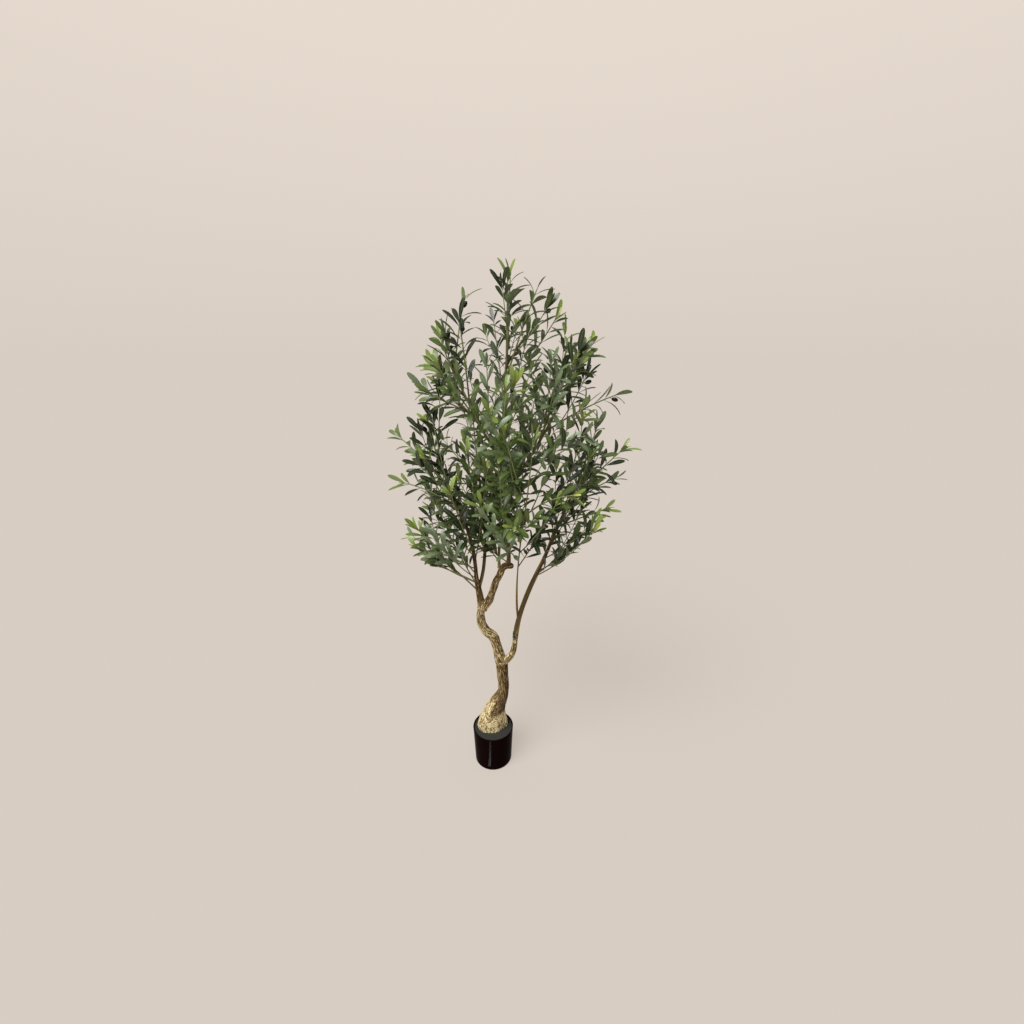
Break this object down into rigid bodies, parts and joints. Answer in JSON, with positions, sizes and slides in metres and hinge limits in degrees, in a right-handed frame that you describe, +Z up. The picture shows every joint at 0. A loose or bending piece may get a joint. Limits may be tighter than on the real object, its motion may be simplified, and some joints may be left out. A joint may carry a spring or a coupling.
{
  "type": "artificial olive tree in a pot",
  "caption": "Artificial olive tree with a bent bark-textured trunk, rising stems with narrow leaves and dark fruit, standing in a small round glossy pot.",
  "frame": {"origin": "centre of the pot's flat underside", "axes": "+Z up, -Y towards the tree's front, +X to the right of someone who looks at the front"},
  "size_m": [0.7797, 0.7507, 1.8018],
  "materials": {
    "pot_plastic": "gloss",
    "cement": "matte",
    "bark": "matte",
    "stem": "satin",
    "leaf": "satin"
  },
  "bodies": {
    "root": {"pot": "pot_plastic", "pot_fill": "cement", "trunk": "bark", "upper_arm": "bark", "right_bough": "bark", "left_bough": "stem", "left_inner_bough": "stem", "centre_stem": "stem", "left_upper_bough": "stem", "right_upper_bough": "stem", "arm_back_stem": "stem", "right_outer_stem": "stem", "right_upright_stem": "stem", "foliage_top": "leaf", "foliage_left_1": "leaf", "foliage_left_2": "leaf", "foliage_left_3": "leaf", "foliage_left_4": "leaf", "foliage_left_5": "leaf", "foliage_left_6": "leaf", "foliage_left_7": "leaf", "foliage_left_8": "leaf", "foliage_right_1": "leaf", "foliage_right_2": "leaf", "foliage_right_3": "leaf", "foliage_right_4": "leaf", "foliage_right_5": "leaf", "foliage_right_6": "leaf", "foliage_right_7": "leaf", "foliage_right_8": "leaf", "foliage_front_1": "leaf", "foliage_front_2": "leaf", "foliage_front_3": "leaf", "foliage_front_4": "leaf", "foliage_front_5": "leaf", "foliage_front_6": "leaf", "foliage_front_7": "leaf", "foliage_front_8": "leaf", "foliage_back_1": "leaf", "foliage_back_2": "leaf", "foliage_back_3": "leaf", "foliage_back_4": "leaf", "foliage_back_5": "leaf", "foliage_back_6": "leaf", "foliage_back_7": "leaf", "foliage_back_8": "leaf", "foliage_back_9": "leaf"}
  },
  "joints": []
}
